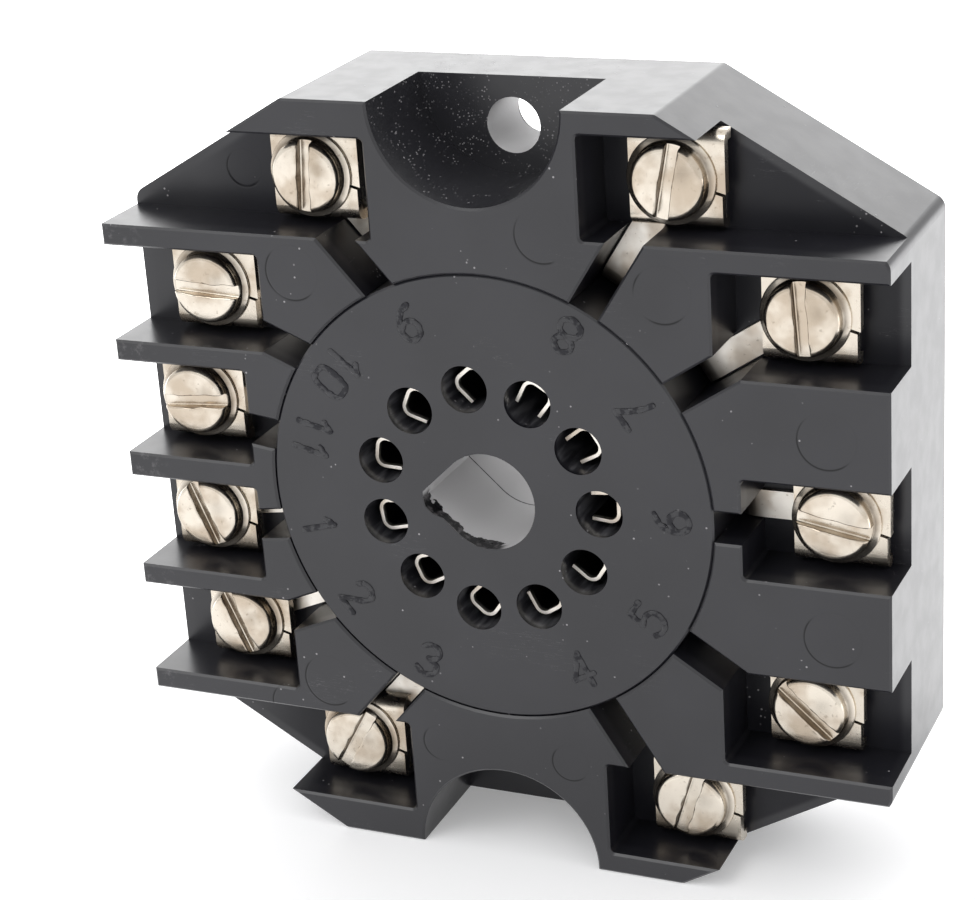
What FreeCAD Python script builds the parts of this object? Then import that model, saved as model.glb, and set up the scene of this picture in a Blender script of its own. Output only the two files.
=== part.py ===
import FreeCAD, Part
import os

import Sketcher

# Relay socket: a moulded base with a round disc of eleven pin holes about a keyed bore, and eleven
# screw terminals round its rim. Every piece is drawn as seen from the front: x to the right, y up
# and z out of the back face towards the viewer. Its Placement then stands it up, so that in the
# finished part +X is right, +Z is up, the front looks along -Y and the origin is the key bore's
# centre on the back face. A size that ends in depth is measured back from the front face.

sizes = {
    # moulded base
    "base_thickness": 16.4,
    "half_width": 32.85,
    "half_height": 32.2,
    "crown_half": 15.35,  # half the length of the flat top and bottom
    "slope_angle": 30.0,  # slope of the four cut corners
    "side_corner_radius": 1.2,
    "crown_corner_radius": 0.6,
    "edge_chamfer": 0.18,
    # terminal recesses and what stands in them
    "recess_depth": 5.95,
    "recess_width": 8.2,
    "left_inset": 6.65,  # screw axis to the recess's inner wall, by side
    "right_inset": 6.1,
    "level_inset": 6.4,  # the same at the one screw level with the disc's middle
    "recess_corner": 0.4,
    "near_column": 15.15,  # screw axes from the middle, left and right alike
    "mid_column": 25.35,
    "far_column": 27.55,
    "left_first": 5.17,  # height of the first screws left of the key
    "right_second": 16.3,  # height of the second screw on the right, the first being level
    "terminal_pitch": 10.0,
    "well_width": 5.2,
    "well_depth": 13.0,
    # pin circle and disc
    "pin_circle": 19.05,
    "pin_hole_radius": 1.97,
    "disc_radius": 18.92,
    "disc_thickness": 9.3,
    "disc_sink": 0.15,  # front face to the disc's face
    "disc_clearance": 0.05,
    "disc_chamfer": 0.15,
    "bore_radius": 4.1,
    "key_reach": 5.65,
    "key_tip_half": 0.3,
    "key_mouth_angle": 43.0,  # from the key's axis to where its side leaves the bore
    "chip_depth": 1.1,
    # mounting pockets and holes
    "pocket_radius": 7.95,
    "pocket_depth": 9.9,
    "mount_margin": 4.0,  # mounting hole's centre to the flat top or bottom
    "mount_radius": 2.27,
    # sheet-metal contacts
    "sheet": 0.4,
    "strip_width": 2.3,
    "channel_clearance": 0.15,
    "channel_depth": 11.0,
    "riser_gap": 0.25,  # disc's rim to the strip's riser
    "bend_radius": 1.0,
    "clip_half": 1.42,
    "clip_face": 1.2,  # pin's centre to the clip's outer face
    "clip_sheet": 0.29,
    "clip_length": 2.4,
    "clip_pinch": 0.2,
    "clip_corner": 0.9,
    "clip_depth": 1.7,
    "tab_width": 7.1,
    "collar_radius": 2.3,
    "collar_length": 1.2,
    # clamp plates
    "plate_width": 7.6,
    "plate_offset": 0.4,  # screw axis to the plate's middle
    "plate_sheet": 0.8,
    "plate_depth": 3.95,
    "plate_bend": 1.0,
    "plate_clearance": 0.1,
    "seat_gap": 0.02,  # under the plate's lips and under the screw's head
    "slit_width": 0.22,
    "slit_step": 0.25,
    # terminal screws
    "thread_clearance": 0.05,
    "shank_radius": 1.75,
    "shank_length": 7.9,
    "flange_radius": 3.55,
    "flange_rim": 0.3,
    "crown_radius": 2.9,
    "head_height": 1.6,
    "driver_width": 1.1,
    "driver_depth": 0.85,
}

# the way each driver slot happens to lie, counter-clockwise from the right
driver_angles = {1: -68, 2: -67, 3: 60, 4: 72, 5: -42, 6: -10, 7: 94, 8: 79, 9: 86, 10: -3, 11: 4}

# broken edge below the keyway, in bore radii: the torn side, then back across the open bore
chip_outline = [(-1.39, -0.02), (-1.34, -0.24), (-1.2, -0.38), (-1.0, -0.44), (-0.85, -0.54),
                (-0.7, -0.72), (-0.52, -0.84), (-0.3, -0.97), (-0.05, -1.01), (-0.1, -0.6),
                (-0.8, -0.1)]

doc = FreeCAD.newDocument("relay_socket")
dims = doc.addObject("Spreadsheet::Sheet", "dims")
for row, (alias, size) in enumerate(sizes.items(), start=1):
    dims.set("A%d" % row, alias)
    dims.set("B%d" % row, str(size))
    dims.setAlias("B%d" % row, alias)
doc.recompute()


def value(formula):
    """Number that a formula on the sheet stands for now."""
    found = dims.evalExpression(formula)
    return float(getattr(found, "Value", found))


def new_body(label):
    body = doc.addObject("PartDesign::Body", label)
    body.Label = label
    return body


def sketch_on(body, role, name, level="0", x="0", y="0", turn="0"):
    """Empty sketch on one of the body's planes, lifted to a level, shifted and turned in it."""
    plane = next(part for part in body.Origin.OriginFeatures if part.Role == role)
    sketch = body.newObject("Sketcher::SketchObject", name)
    sketch.AttachmentSupport = (plane, "")
    sketch.MapMode = "FlatFace"
    offset = "create(<<placement>>; create(<<vector>>; %s; %s; %s); create(<<rotation>>; %s; 0; 0))"
    sketch.setExpression("AttachmentOffset", offset % (x, y, level, turn))
    return sketch


def pin_point(sketch, geometry, end, x, y):
    """Hold one point of a sketch at x and y, both formulas."""
    for kind, formula in (("DistanceX", x), ("DistanceY", y)):
        index = sketch.addConstraint(
            Sketcher.Constraint(kind, -1, 1, geometry, end, value(formula)))
        sketch.setExpression("Constraints[%d]" % index, formula)


def draw_polygon(sketch, corners):
    """Closed outline through corners given as pairs of formulas."""
    points = [FreeCAD.Vector(value(x), value(y), 0) for x, y in corners]
    count = len(points)
    lines = [sketch.addGeometry(Part.LineSegment(points[i], points[(i + 1) % count]), False)
             for i in range(count)]
    for i, line in enumerate(lines):
        sketch.addConstraint(
            Sketcher.Constraint("Coincident", line, 2, lines[(i + 1) % count], 1))
        pin_point(sketch, line, 1, *corners[i])
    return lines


def draw_box(sketch, left, right, low, high):
    return draw_polygon(sketch, [(left, low), (right, low), (right, high), (left, high)])


def draw_circle(sketch, x, y, radius):
    centre = FreeCAD.Vector(value(x), value(y), 0)
    circle = sketch.addGeometry(
        Part.Circle(centre, FreeCAD.Vector(0, 0, 1), value(radius)), False)
    pin_point(sketch, circle, 3, x, y)
    index = sketch.addConstraint(Sketcher.Constraint("Radius", circle, value(radius)))
    sketch.setExpression("Constraints[%d]" % index, radius)
    return circle


def pad(body, sketch, length, midplane=False, reverse=False):
    feature = body.newObject("PartDesign::Pad", sketch.Name + "_pad")
    feature.Profile = sketch
    feature.setExpression("Length", length)
    feature.Midplane = midplane
    feature.Reversed = reverse
    sketch.Visibility = False
    return feature


def pocket(body, sketch, length=None):
    """Cut from the sketch towards the back face, by a length or right through."""
    feature = body.newObject("PartDesign::Pocket", sketch.Name + "_pocket")
    feature.Profile = sketch
    if length is None:
        feature.Type = "ThroughAll"
    else:
        feature.setExpression("Length", length)
    sketch.Visibility = False
    return feature


def edges_at(body, along, places, tolerance=0.02):
    """Names of the tip's straight edges that run along an axis through the given points."""
    doc.recompute()
    names = []
    for number, edge in enumerate(body.Tip.Shape.Edges, start=1):
        if not isinstance(edge.Curve, Part.Line):
            continue
        if abs(abs(edge.Curve.Direction.dot(along)) - 1) > 1e-6:
            continue
        middle = edge.CenterOfMass
        flat = middle - along * middle.dot(along)
        if any((flat - place).Length < tolerance for place in places):
            names.append("Edge%d" % number)
    return names


def edges_at_level(body, level):
    """Names of the tip's edges that lie in the plane at the given level."""
    doc.recompute()
    height = value(level)
    return ["Edge%d" % number for number, edge in enumerate(body.Tip.Shape.Edges, start=1)
            if abs(edge.BoundBox.ZMin - height) < 1e-4 and abs(edge.BoundBox.ZMax - height) < 1e-4]


def fillet(body, name, radius, edges):
    base = body.Tip
    feature = body.newObject("PartDesign::Fillet", name)
    feature.Base = (base, edges)
    feature.setExpression("Radius", radius)
    return feature


def chamfer(body, name, size, edges):
    base = body.Tip
    feature = body.newObject("PartDesign::Chamfer", name)
    feature.Base = (base, edges)
    feature.setExpression("Size", size)
    return feature


def stand_up(body, x="0", y="0", turn="0"):
    """Check a finished piece, and turn it from its drawing plane to stand over the point x, y."""
    doc.recompute()
    failed = [item.Name for item in body.Group if {"Invalid", "Error"} & set(item.State)]
    if failed:
        raise RuntimeError("not sound: " + ", ".join(failed))
    body.setExpression(
        "Placement",
        "create(<<placement>>; create(<<vector>>; %s; 0; %s); create(<<rotation>>; 0; -(%s); 90))"
        % (x, y, turn))


# where each terminal's screw stands, going round from the key
screw_places = {
    11: ("-dims.far_column", "dims.left_first"),
    10: ("-dims.mid_column", "dims.left_first + dims.terminal_pitch"),
    9: ("-dims.near_column", "dims.left_first + 2 * dims.terminal_pitch"),
    8: ("dims.near_column", "dims.right_second + dims.terminal_pitch"),
    7: ("dims.mid_column", "dims.right_second"),
    6: ("dims.far_column", "0 * dims.right_second"),
}
for upper in (7, 8, 9, 10, 11):
    across, up = screw_places[upper]
    screw_places[12 - upper] = (across, "-(%s)" % up)
numbers = sorted(screw_places)
pin_count = len(numbers)

# each terminal's layout: pin, screw, heading from pin to screw, and where the strip drops
layouts = {}
for number in numbers:
    name = "terminal_%d" % number
    layout = doc.addObject("App::VarSet", name)
    for length in ("pin_x", "pin_y", "screw_x", "screw_y", "inset", "reach", "riser"):
        layout.addProperty("App::PropertyFloat", length)
    layout.addProperty("App::PropertyAngle", "heading")
    turn = "(%d * 360 / %d)" % (number - 6, pin_count)
    layout.setExpression("pin_x", "dims.pin_circle / 2 * cos(%s)" % turn)
    layout.setExpression("pin_y", "dims.pin_circle / 2 * sin(%s)" % turn)
    layout.setExpression("screw_x", screw_places[number][0])
    layout.setExpression("screw_y", screw_places[number][1])
    side = "level" if number == 6 else "right" if number in (4, 5, 7, 8) else "left"
    layout.setExpression("inset", "dims.%s_inset" % side)
    layout.setExpression("heading", "atan2(screw_y - pin_y; screw_x - pin_x)")
    layout.setExpression("reach", "hypot(screw_x - pin_x; screw_y - pin_y)")
    ahead = "(pin_x * cos(heading) + pin_y * sin(heading))"
    aside = "(pin_y * cos(heading) - pin_x * sin(heading))"
    layout.setExpression(
        "riser",
        "sqrt((dims.disc_radius + dims.riser_gap) ^ 2 - %s ^ 2) - %s" % (aside, ahead))
    layouts[number] = name
doc.recompute()

front = "dims.base_thickness"
recess_floor = "dims.base_thickness - dims.recess_depth"
channel_floor = "dims.base_thickness - dims.channel_depth"
half_slot = "(dims.strip_width / 2 + dims.channel_clearance)"
half_clip = "(dims.clip_half + dims.channel_clearance)"


def make_base():
    body = new_body("base")
    outline = sketch_on(body, "XY_Plane", "base_outline")
    side_top = "(dims.half_height - (dims.half_width - dims.crown_half) * tan(dims.slope_angle))"
    quarter = [("dims.half_width", side_top), ("dims.crown_half", "dims.half_height")]
    corners = list(quarter)
    corners += [("-" + x, y) for x, y in reversed(quarter)]
    corners += [("-" + x, "-" + y) for x, y in quarter]
    corners += [(x, "-" + y) for x, y in reversed(quarter)]
    draw_polygon(outline, corners)
    pad(body, outline, front)

    upright = FreeCAD.Vector(0, 0, 1)
    wide, high = value("dims.half_width"), value(side_top)
    side_corners = [FreeCAD.Vector(a * wide, b * high, 0) for a in (-1, 1) for b in (-1, 1)]
    fillet(body, "side_corners", "dims.side_corner_radius", edges_at(body, upright, side_corners))
    wide, high = value("dims.crown_half"), value("dims.half_height")
    crown_corners = [FreeCAD.Vector(a * wide, b * high, 0) for a in (-1, 1) for b in (-1, 1)]
    fillet(body, "crown_corners", "dims.crown_corner_radius",
           edges_at(body, upright, crown_corners))

    recesses = sketch_on(body, "XY_Plane", "recesses", front)
    for number in numbers:
        x, y = layouts[number] + ".screw_x", layouts[number] + ".screw_y"
        side = 1 if value(x) > 0 else -1
        inner = "%s - %d * %s.inset" % (x, side, layouts[number])
        outer = "%d * (dims.half_width + dims.recess_width)" % side
        draw_box(recesses, *sorted((inner, outer), key=value),
                 "%s - dims.recess_width / 2" % y, "%s + dims.recess_width / 2" % y)
    pocket(body, recesses, "dims.recess_depth")
    inner_corners = []
    for number in numbers:
        x, y, inset = (value("%s.%s" % (layouts[number], name))
                       for name in ("screw_x", "screw_y", "inset"))
        inner_x = x - (1 if x > 0 else -1) * inset
        half = value("dims.recess_width / 2")
        inner_corners += [FreeCAD.Vector(inner_x, y + side * half, 0) for side in (-1, 1)]
    fillet(body, "recess_corners", "dims.recess_corner", edges_at(body, upright, inner_corners))

    wells = sketch_on(body, "XY_Plane", "wells", front)
    for number in numbers:
        x, y = layouts[number] + ".screw_x", layouts[number] + ".screw_y"
        draw_box(wells, x + " - dims.well_width / 2", x + " + dims.well_width / 2",
                 y + " - dims.well_width / 2", y + " + dims.well_width / 2")
    pocket(body, wells, "dims.well_depth")

    for number in numbers:
        name = layouts[number]
        place = dict(x=name + ".pin_x", y=name + ".pin_y", turn=name + ".heading")
        slot = sketch_on(body, "XY_Plane", "slot_%d" % number, front, **place)
        draw_box(slot, "-dims.pin_hole_radius", name + ".reach - %s.inset / 2" % name,
                 "-" + half_slot, half_slot)
        pocket(body, slot, "dims.recess_depth")
        channel = sketch_on(body, "XY_Plane", "channel_%d" % number, front, **place)
        end = name + ".riser + dims.sheet + dims.bend_radius"
        upper = [("-dims.pin_hole_radius", half_clip), ("dims.pin_hole_radius", half_clip),
                 ("dims.pin_hole_radius", half_slot), (end, half_slot)]
        draw_polygon(channel, upper + [(x, "-" + y) for x, y in reversed(upper)])
        pocket(body, channel, "dims.channel_depth")

    seat = sketch_on(body, "XY_Plane", "disc_seat", front)
    draw_circle(seat, "0", "0", "dims.disc_radius + dims.disc_clearance")
    pocket(body, seat, "dims.disc_sink + dims.disc_thickness")

    pockets = sketch_on(body, "XY_Plane", "mount_pockets", front)
    holes = sketch_on(body, "XY_Plane", "mount_holes", front)
    for sign in ("", "-"):
        draw_circle(pockets, "0", sign + "dims.half_height", "dims.pocket_radius")
        draw_circle(holes, "0", sign + "(dims.half_height - dims.mount_margin)",
                    "dims.mount_radius")
    pocket(body, pockets, "dims.pocket_depth")
    draw_circle(holes, "0", "0", "dims.bore_radius")
    pocket(body, holes)
    cut_key(body, "base_key")
    chamfer(body, "front_edges", "dims.edge_chamfer", edges_at_level(body, front))
    stand_up(body)
    return body


def cut_key(body, name):
    """Keyway through a piece: a blunt V whose sides leave the bore at its mouth."""
    key = sketch_on(body, "XY_Plane", name, front)
    mouth = ("-dims.bore_radius * cos(dims.key_mouth_angle)",
             "dims.bore_radius * sin(dims.key_mouth_angle)")
    draw_polygon(key, [mouth, ("-dims.key_reach", "dims.key_tip_half"),
                       ("-dims.key_reach", "-dims.key_tip_half"), (mouth[0], "-" + mouth[1])])
    pocket(body, key)


def make_disc():
    body = new_body("pin_disc")
    face_level = "dims.base_thickness - dims.disc_sink"
    back = face_level + " - dims.disc_thickness"
    rim = sketch_on(body, "XY_Plane", "disc_rim", back)
    draw_circle(rim, "0", "0", "dims.disc_radius")
    pad(body, rim, "dims.disc_thickness")

    keyed_bore = sketch_on(body, "XY_Plane", "keyed_bore", front)
    draw_circle(keyed_bore, "0", "0", "dims.bore_radius")
    pocket(body, keyed_bore)
    cut_key(body, "disc_key")
    chip = sketch_on(body, "XY_Plane", "key_chip", front)
    draw_polygon(chip, [("%g * dims.bore_radius" % x, "%g * dims.bore_radius" % y)
                        for x, y in chip_outline])
    pocket(body, chip, "dims.disc_sink + dims.chip_depth")

    hole = sketch_on(body, "XY_Plane", "pin_hole", front)
    draw_circle(hole, "dims.pin_circle / 2", "0", "dims.pin_hole_radius")
    cut = pocket(body, hole)
    ring = body.newObject("PartDesign::PolarPattern", "pin_holes")
    ring.Originals = [cut]
    ring.Axis = (next(part for part in body.Origin.OriginFeatures if part.Role == "Z_Axis"), "")
    ring.Angle = 360
    ring.Occurrences = pin_count
    body.Tip = ring
    doc.recompute()
    rim_edges = ["Edge%d" % place for place, edge in enumerate(ring.Shape.Edges, start=1)
                 if isinstance(edge.Curve, Part.Circle)
                 and abs(edge.Curve.Radius - value("dims.disc_radius")) < 1e-4
                 and edge.CenterOfMass.z > value(face_level) - 1e-4]
    chamfer(body, "rim_edge", "dims.disc_chamfer", rim_edges)
    stand_up(body)
    return body


def make_contact(number):
    name = layouts[number]
    body = new_body("contact_%d" % number)
    reach, riser = name + ".reach", name + ".riser"
    strip = sketch_on(body, "XZ_Plane", "strip_%d" % number)
    near = "dims.clip_face - dims.clip_sheet"
    draw_polygon(strip, [
        (near, channel_floor), (riser + " + dims.sheet", channel_floor),
        (riser + " + dims.sheet", recess_floor), (reach, recess_floor),
        (reach, recess_floor + " + dims.sheet"), (riser, recess_floor + " + dims.sheet"),
        (riser, channel_floor + " + dims.sheet"), (near, channel_floor + " + dims.sheet")])
    pad(body, strip, "dims.strip_width", midplane=True)
    across = FreeCAD.Vector(0, 1, 0)

    def spot(x, z):
        return FreeCAD.Vector(value(x), 0, value(z))

    outer = [spot(riser + " + dims.sheet", channel_floor), spot(riser, recess_floor + " + dims.sheet")]
    inner = [spot(riser + " + dims.sheet", recess_floor), spot(riser, channel_floor + " + dims.sheet")]
    fillet(body, "inner_bends_%d" % number, "dims.bend_radius", edges_at(body, across, inner))
    fillet(body, "outer_bends_%d" % number, "dims.bend_radius + dims.sheet",
           edges_at(body, across, outer))

    clip = sketch_on(body, "XY_Plane", "clip_%d" % number, channel_floor)
    face, half = "dims.clip_face", "dims.clip_half"
    tail = "dims.clip_face - dims.clip_length"
    inner = half + " - dims.clip_sheet"
    upper = [(face, half), (tail, half + " - dims.clip_pinch"), (tail, inner + " - dims.clip_pinch"),
             (face + " - dims.clip_sheet", inner)]
    draw_polygon(clip, upper + [(x, "-(%s)" % y) for x, y in reversed(upper)])
    pad(body, clip, "dims.channel_depth - dims.clip_depth")
    corners = [FreeCAD.Vector(value(face), side * value(half), 0) for side in (-1, 1)]
    fillet(body, "clip_corners_%d" % number, "dims.clip_corner",
           edges_at(body, FreeCAD.Vector(0, 0, 1), corners))
    hollows = [FreeCAD.Vector(value(face + " - dims.clip_sheet"), side * value(inner), 0)
               for side in (-1, 1)]
    fillet(body, "clip_hollows_%d" % number, "dims.clip_corner - dims.clip_sheet",
           edges_at(body, FreeCAD.Vector(0, 0, 1), hollows))

    tab = sketch_on(body, "XY_Plane", "tab_%d" % number, recess_floor,
                    x=reach, turn="-" + name + ".heading")
    draw_box(tab, "-dims.tab_width / 2", "dims.tab_width / 2",
             "-dims.tab_width / 2", "dims.tab_width / 2")
    pad(body, tab, "dims.sheet")
    collar = sketch_on(body, "XY_Plane", "collar_%d" % number, recess_floor)
    draw_circle(collar, reach, "0", "dims.collar_radius")
    pad(body, collar, "dims.collar_length", reverse=True)
    thread = sketch_on(body, "XY_Plane", "thread_%d" % number, front)
    draw_circle(thread, reach, "0", "dims.shank_radius + dims.thread_clearance")
    pocket(body, thread)
    stand_up(body, name + ".pin_x", name + ".pin_y", name + ".heading")
    return body


def make_clamp_plate(number):
    body = new_body("clamp_plate_%d" % number)
    half = "dims.plate_width / 2"
    top = "dims.base_thickness - dims.plate_depth"
    foot = recess_floor + " + dims.sheet + dims.seat_gap"
    inside = half + " - dims.plate_sheet"
    saddle = sketch_on(body, "YZ_Plane", "saddle_%d" % number, "dims.plate_offset")
    draw_polygon(saddle, [
        ("-" + half, foot), ("-(%s)" % inside, foot), ("-(%s)" % inside, top + " - dims.plate_sheet"),
        (inside, top + " - dims.plate_sheet"), (inside, foot), (half, foot), (half, top),
        ("-" + half, top)])
    pad(body, saddle, "dims.plate_width", midplane=True)
    shoulders = [FreeCAD.Vector(0, side * value(half), value(top)) for side in (-1, 1)]
    fillet(body, "shoulders_%d" % number, "dims.plate_bend",
           edges_at(body, FreeCAD.Vector(1, 0, 0), shoulders))

    hole = sketch_on(body, "XY_Plane", "plate_hole_%d" % number, front)
    draw_circle(hole, "0", "0", "dims.shank_radius + dims.plate_clearance")
    pocket(body, hole)
    slit = sketch_on(body, "XY_Plane", "slit_%d" % number, front)
    rise, fall = "-dims.slit_width", "-dims.plate_width / 8"
    step = "dims.plate_offset + dims.plate_width / 2 - dims.slit_step"
    draw_polygon(slit, [
        ("dims.shank_radius * 0.8", rise), ("dims.plate_width", fall + " - dims.plate_width / 8"),
        ("dims.plate_width", "-dims.plate_width"), (step, "-dims.plate_width"),
        (step, fall + " - dims.slit_width"),
        ("dims.shank_radius * 0.8", rise + " - dims.slit_width")])
    pocket(body, slit)
    stand_up(body, layouts[number] + ".screw_x", layouts[number] + ".screw_y")
    return body


def make_screw(number):
    body = new_body("terminal_screw_%d" % number)
    under = "dims.base_thickness - dims.plate_depth + dims.seat_gap"
    tip = under + " - dims.shank_length"
    profile = sketch_on(body, "XZ_Plane", "turning_%d" % number)
    rim = under + " + dims.flange_rim"
    top = under + " + dims.head_height"
    draw_polygon(profile, [
        ("0 * dims.shank_radius", tip), ("dims.shank_radius", tip), ("dims.shank_radius", under),
        ("dims.flange_radius", under), ("dims.flange_radius", rim), ("dims.crown_radius", rim),
        ("dims.crown_radius", top), ("0 * dims.shank_radius", top)])
    turned = body.newObject("PartDesign::Revolution", "turned_%d" % number)
    turned.Profile = profile
    turned.ReferenceAxis = (profile, ["V_Axis"])
    turned.Angle = 360

    driver = sketch_on(body, "XY_Plane", "driver_%d" % number, front)
    draw_box(driver, "-2 * dims.flange_radius", "2 * dims.flange_radius",
             "-dims.driver_width / 2", "dims.driver_width / 2")
    pocket(body, driver,
           "dims.plate_depth - dims.seat_gap - dims.head_height + dims.driver_depth")
    stand_up(body, layouts[number] + ".screw_x", layouts[number] + ".screw_y",
             str(driver_angles[number]))
    return body


pieces = [make_base(), make_disc()]
pieces += [make_contact(number) for number in numbers]
pieces += [make_clamp_plate(number) for number in numbers]
pieces += [make_screw(number) for number in numbers]
doc.recompute()

faults = [item.Name for item in doc.Objects if {"Invalid", "Error"} & set(item.State)]
faults += [piece.Label for piece in pieces
           if piece.Shape.isNull() or not piece.Shape.isValid() or len(piece.Shape.Solids) != 1]
if faults:
    raise RuntimeError("not sound: " + ", ".join(faults))

os.makedirs("parts", exist_ok=True)
for piece in pieces:
    piece.Shape.exportStep("parts/%s.step" % piece.Label)
    box = piece.Shape.BoundBox
    print("%-18s %9.2f mm3  x %7.2f %7.2f  y %7.2f %7.2f  z %7.2f %7.2f" % (
        piece.Label, piece.Shape.Volume, box.XMin, box.XMax, box.YMin, box.YMax, box.ZMin, box.ZMax))
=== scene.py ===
import bpy
import bmesh
import math
import numpy as np
from mathutils import Matrix, Vector


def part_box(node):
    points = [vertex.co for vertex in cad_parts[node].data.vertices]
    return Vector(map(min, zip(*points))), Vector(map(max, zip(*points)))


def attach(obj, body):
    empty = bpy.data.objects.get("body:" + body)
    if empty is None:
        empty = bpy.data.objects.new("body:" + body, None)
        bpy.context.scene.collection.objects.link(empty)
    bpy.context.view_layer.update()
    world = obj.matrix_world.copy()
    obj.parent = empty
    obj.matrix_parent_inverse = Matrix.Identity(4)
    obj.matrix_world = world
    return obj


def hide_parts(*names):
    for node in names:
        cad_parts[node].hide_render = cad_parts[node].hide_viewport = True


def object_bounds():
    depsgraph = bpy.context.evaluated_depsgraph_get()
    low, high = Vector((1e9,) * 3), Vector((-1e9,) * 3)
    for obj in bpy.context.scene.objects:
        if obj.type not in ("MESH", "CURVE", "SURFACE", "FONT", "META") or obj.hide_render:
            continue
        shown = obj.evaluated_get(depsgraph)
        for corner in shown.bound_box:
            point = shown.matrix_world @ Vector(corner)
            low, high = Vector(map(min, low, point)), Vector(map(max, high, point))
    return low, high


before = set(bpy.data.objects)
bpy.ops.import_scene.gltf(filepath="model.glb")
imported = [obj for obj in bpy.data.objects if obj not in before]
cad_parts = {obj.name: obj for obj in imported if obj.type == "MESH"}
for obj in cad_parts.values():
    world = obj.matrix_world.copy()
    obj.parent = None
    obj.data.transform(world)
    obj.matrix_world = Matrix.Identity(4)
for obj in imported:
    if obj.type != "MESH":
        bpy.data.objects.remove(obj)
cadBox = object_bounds()
mm = 0.001
print("frame loaded:", len(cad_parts), "nodes")

terminals = range(1, 12)
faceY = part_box("base")[0].y  # the moulding's front face
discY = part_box("pin_disc")[0].y  # the disc's face, a touch behind it


# Camera: a point and a direction in the socket's own frame

view = {
    "place": (77.94, -185.12, 78.34),  # mm
    "forward": (-0.38806, 0.84445, -0.36920),
    "up": (-0.09309, 0.36263, 0.92727),
    "lens": 93.77,
    "sensor": 36.0,
}


def makeCamera():
    forward = Vector(view["forward"]).normalized()
    right = forward.cross(Vector(view["up"])).normalized()
    up = right.cross(forward)
    turn = Matrix((right, up, -forward)).transposed()
    data = bpy.data.cameras.new("photoCamera")
    data.lens = view["lens"]
    data.sensor_width = view["sensor"]
    data.clip_start = 0.01
    camera = bpy.data.objects.new("photoCamera", data)
    camera.matrix_world = Matrix.Translation(Vector(view["place"]) * mm) @ turn.to_4x4()
    bpy.context.scene.collection.objects.link(camera)
    bpy.context.scene.camera = camera


makeCamera()
print("camera placed")


# Meshes

def surfaceMesh(name, grids, weld=2e-6):
    # Grids of points, each rows x columns x 3 and said to wrap round or not, joined in one mesh:
    # the face at row i and column j has the corners (i, j), (i, j+1), (i+1, j+1) and (i+1, j).
    points, faces, start = [], [], 0
    for grid, wraps in grids:
        rows, columns = grid.shape[:2]
        across = columns if wraps else columns - 1
        i, j = np.meshgrid(np.arange(rows - 1), np.arange(across), indexing="ij")
        step = (j + 1) % columns
        quads = np.stack((i * columns + j, i * columns + step,
                          (i + 1) * columns + step, (i + 1) * columns + j), -1)
        points.append(grid.reshape(-1, 3))
        faces.append(quads.reshape(-1, 4) + start)
        start += rows * columns
    mesh = bpy.data.meshes.new(name)
    mesh.from_pydata(np.concatenate(points), [], np.concatenate(faces).tolist())
    shape = bmesh.new()
    shape.from_mesh(mesh)
    bmesh.ops.remove_doubles(shape, verts=shape.verts, dist=weld)
    bmesh.ops.recalc_face_normals(shape, faces=shape.faces)
    shape.to_mesh(mesh)
    shape.free()
    mesh.polygons.foreach_set("use_smooth", np.ones(len(mesh.polygons), bool))
    return mesh


def makePiece(name, mesh, material, body):
    piece = bpy.data.objects.new(name, mesh)
    bpy.context.scene.collection.objects.link(piece)
    mesh.materials.append(material)
    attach(piece, body)
    return piece


def smoothStep(edge0, edge1, x):
    # 0 below edge0, 1 above edge1, and t*t*(3 - 2t) between, where t is the share of the way
    t = np.clip((x - edge0) / (edge1 - edge0), 0, 1)
    return t * t * (3 - 2 * t)


def softNoise(x, y, seed, scale):
    # Sum of six sine waves of random heading and phase, within about -1 to 1
    random = np.random.default_rng(seed)
    angles, phases = random.uniform(0, 2 * np.pi, (2, 6))
    rates = scale * random.uniform(0.6, 1.8, 6)
    waves = [np.sin(rate * (x * np.cos(a) + y * np.sin(a)) + p)
             for rate, a, p in zip(rates, angles, phases)]
    return sum(waves) / 3.0


# Materials

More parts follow.
